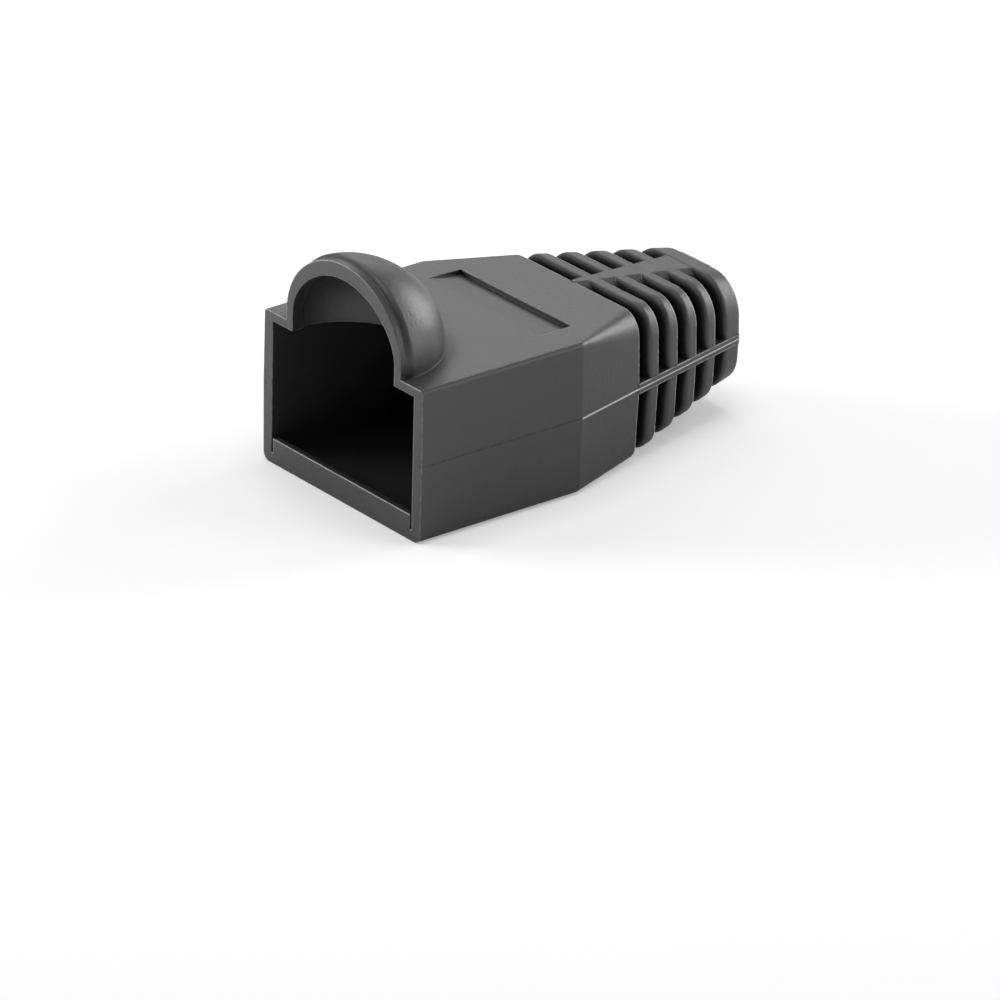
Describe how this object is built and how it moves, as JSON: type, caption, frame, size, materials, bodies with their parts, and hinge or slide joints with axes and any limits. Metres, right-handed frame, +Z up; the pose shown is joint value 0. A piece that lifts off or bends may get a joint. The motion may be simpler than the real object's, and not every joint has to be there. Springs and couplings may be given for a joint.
{
  "type": "rj45 strain relief boot",
  "caption": "Soft slide-on boot for a modular plug: open square mouth, arched hood over the plug's latch, and a ribbed tapering tail that lets the cable bend gently.",
  "frame": {"origin": "middle of the front edge of the flat base, in the plane of the plug mouth", "axes": "+Y from the mouth to the cable end, +Z up through the hood, +X to the right when looking along +Y into the mouth"},
  "size_m": [0.0138, 0.0244, 0.0138],
  "materials": {
    "boot": "matte charcoal moulded soft PVC"
  },
  "bodies": {
    "root": {"boot": "boot"}
  },
  "joints": []
}
